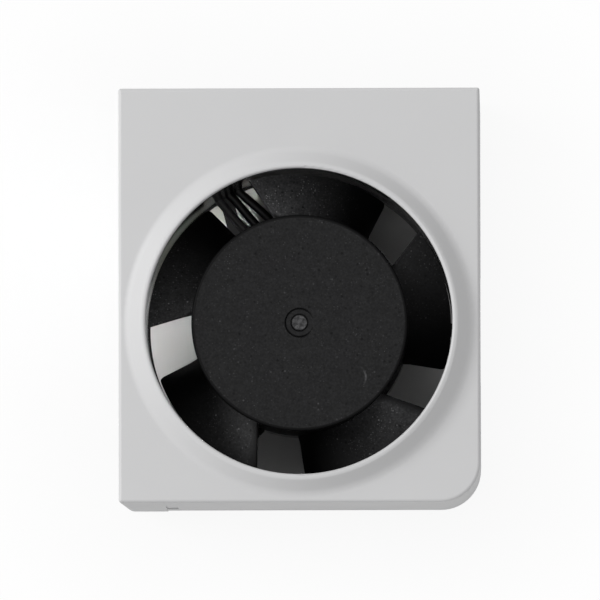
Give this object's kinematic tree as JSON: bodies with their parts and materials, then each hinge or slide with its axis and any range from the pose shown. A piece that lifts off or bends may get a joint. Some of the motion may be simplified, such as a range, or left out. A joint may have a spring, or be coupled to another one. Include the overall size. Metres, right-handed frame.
{
  "type": "box fan",
  "caption": "Small box-shaped fan cassette: light grey moulded housing with a raised round inlet collar, holding a black axial fan with swept blades, motor, leads and plug.",
  "frame": {"origin": "middle of the footprint on the floor, with the cassette lying on its rear feet", "axes": "+Z along the fan axis and out of the inlet, +Y towards the end with the wiring bay, +X to the right when looking into the inlet with the wiring bay up"},
  "size_m": [0.054, 0.062, 0.0287],
  "materials": {
    "light_grey_plastic": "fine matte moulded plastic",
    "black_frame_plastic": "satin moulded plastic",
    "black_impeller_plastic": "matte moulded plastic, a little dusty",
    "yoke_steel": "zinc plated pressed steel",
    "magnet_ferrite": "dull plastic bonded ferrite",
    "ground_steel": "ground steel",
    "spring_steel": "spring steel",
    "bearing_steel": "polished bearing steel",
    "lamination_steel": "stacked steel laminations",
    "insulator_nylon": "natural nylon",
    "enamelled_copper": "enamelled copper wire",
    "board_laminate": "green solder resist",
    "chip_epoxy": "moulded epoxy",
    "capacitor_ceramic": "fired ceramic chip",
    "lead_jacket": "smooth lead jacket",
    "plug_nylon": "natural nylon",
    "contact_tin": "tinned bronze"
  },
  "bodies": {
    "cassette": {"housing": "light_grey_plastic", "fan_frame": "black_frame_plastic", "front_bearing_outer_ring": "bearing_steel", "rear_bearing_outer_ring": "bearing_steel", "preload_washer": "spring_steel", "stator_core": "lamination_steel", "front_insulator": "insulator_nylon", "rear_insulator": "insulator_nylon", "stator_windings": "enamelled_copper", "circuit_board": "board_laminate", "hall_sensor": "chip_epoxy", "drive_chip": "chip_epoxy", "capacitor": "capacitor_ceramic", "lead_positive": "lead_jacket", "lead_negative": "lead_jacket", "lead_signal": "lead_jacket", "plug_housing": "plug_nylon", "plug_contacts": "contact_tin"},
    "rotor": {"impeller": "black_impeller_plastic", "rotor_yoke": "yoke_steel", "rotor_magnet": "magnet_ferrite", "shaft": "ground_steel", "retaining_ring": "spring_steel", "front_bearing_inner_ring": "bearing_steel", "rear_bearing_inner_ring": "bearing_steel"}
  },
  "joints": [
    {"name": "impeller_spin", "type": "hinge", "parent": "cassette", "child": "rotor", "pos_m": [0, -0.004, 0.01], "axis": [0, 0, 1], "continuous": true}
  ]
}
